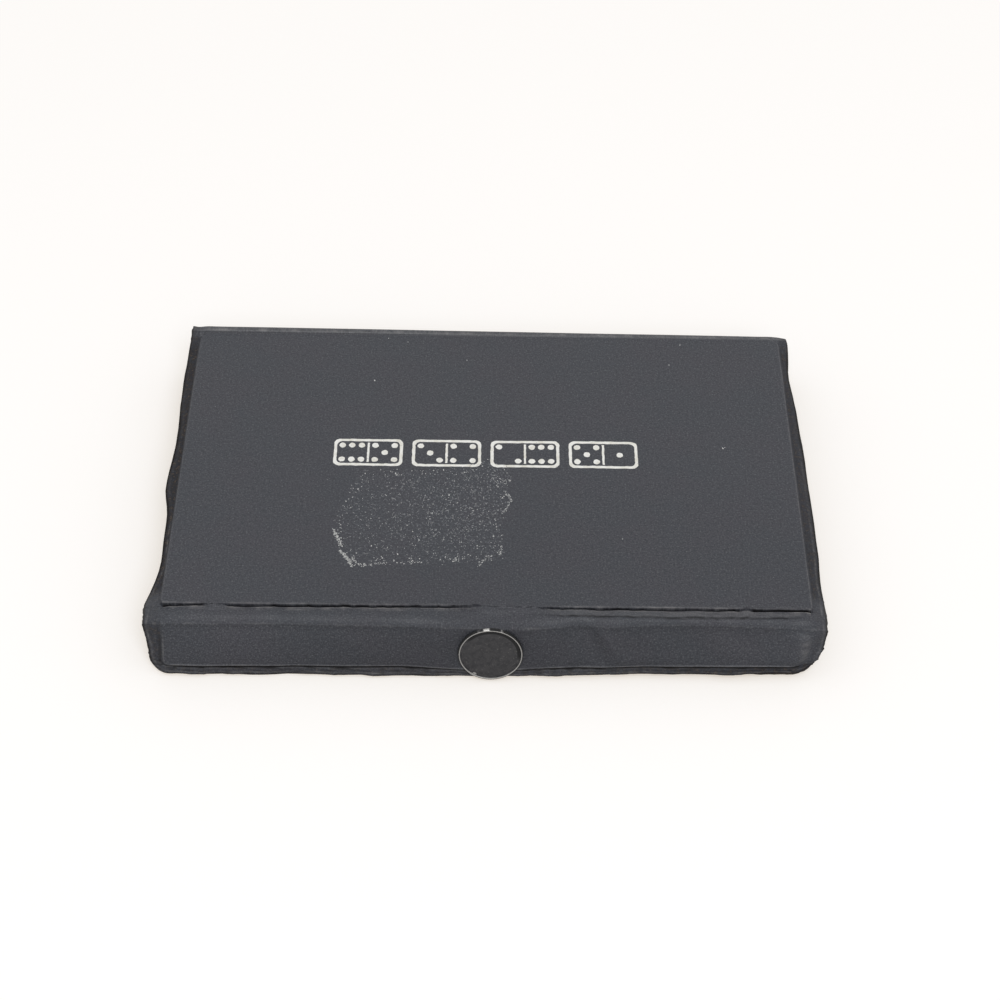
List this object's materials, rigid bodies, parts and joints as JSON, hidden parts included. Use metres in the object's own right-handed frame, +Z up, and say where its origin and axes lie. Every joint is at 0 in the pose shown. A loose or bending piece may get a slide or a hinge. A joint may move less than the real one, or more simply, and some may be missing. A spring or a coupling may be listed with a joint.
{
  "type": "domino storage box",
  "caption": "Flat snap-shut storage box for a set of dominoes: a folding vinyl cover welded round stiff boards carries a shallow moulded tray.",
  "frame": {"origin": "middle of the flat underside of the base, on the surface that it rests on", "axes": "+X along the folds, to the right seen from the press stud's side; +Y towards the rear folds; +Z up through the closed lid"},
  "size_m": [0.1604, 0.1059, 0.0163],
  "materials": {
    "cover_vinyl": "fine leather grain, soft satin sheen",
    "lining_vinyl": "matt, finely grained",
    "welded_vinyl": "smooth, pressed by the welding bar",
    "board": "grey board",
    "tray_plastic": "moulded, satin",
    "painted_cap": "satin black paint, worn to bare metal at the rim",
    "plated_metal": "nickel plated, satin",
    "spring_wire": "drawn wire"
  },
  "bodies": {
    "base": {"base_outer_vinyl": "cover_vinyl", "base_board": "board", "base_lining": "lining_vinyl", "tray": "tray_plastic", "press_stud": "plated_metal", "stud_rivet": "plated_metal", "rear_lower_fold": "welded_vinyl"},
    "spine": {"spine_outer_vinyl": "cover_vinyl", "spine_board": "board", "spine_lining": "lining_vinyl", "rear_upper_fold": "welded_vinyl"},
    "lid": {"lid_outer_vinyl": "cover_vinyl", "lid_board": "board", "lid_lining": "lining_vinyl", "lid_front_fold": "welded_vinyl"},
    "flap_top": {"flap_top_outer_vinyl": "cover_vinyl", "flap_top_lining": "lining_vinyl", "front_bend": "welded_vinyl"},
    "flap_front": {"flap_front_outer_vinyl": "cover_vinyl", "flap_front_lining": "lining_vinyl", "snap_cap": "painted_cap", "snap_socket": "plated_metal", "socket_spring": "spring_wire"}
  },
  "joints": [
    {"name": "rear_lower_hinge", "type": "hinge", "parent": "base", "child": "spine", "pos_m": [0, 0.05075, 0.0015], "axis": [-1, 0, 0], "range_deg": [0, 90], "deforming": ["rear_lower_fold"]},
    {"name": "rear_upper_hinge", "type": "hinge", "parent": "spine", "child": "lid", "pos_m": [0, 0.05075, 0.01485], "axis": [-1, 0, 0], "range_deg": [0, 90], "deforming": ["rear_upper_fold"]},
    {"name": "lid_front_hinge", "type": "hinge", "parent": "lid", "child": "flap_top", "pos_m": [0, -0.04408, 0.01485], "axis": [-1, 0, 0], "range_deg": [0, 110], "deforming": ["lid_front_fold"]},
    {"name": "front_bend_hinge", "type": "hinge", "parent": "flap_top", "child": "flap_front", "pos_m": [0, -0.04925, 0.01485], "axis": [-1, 0, 0], "range_deg": [0, 78], "deforming": ["front_bend"]}
  ]
}
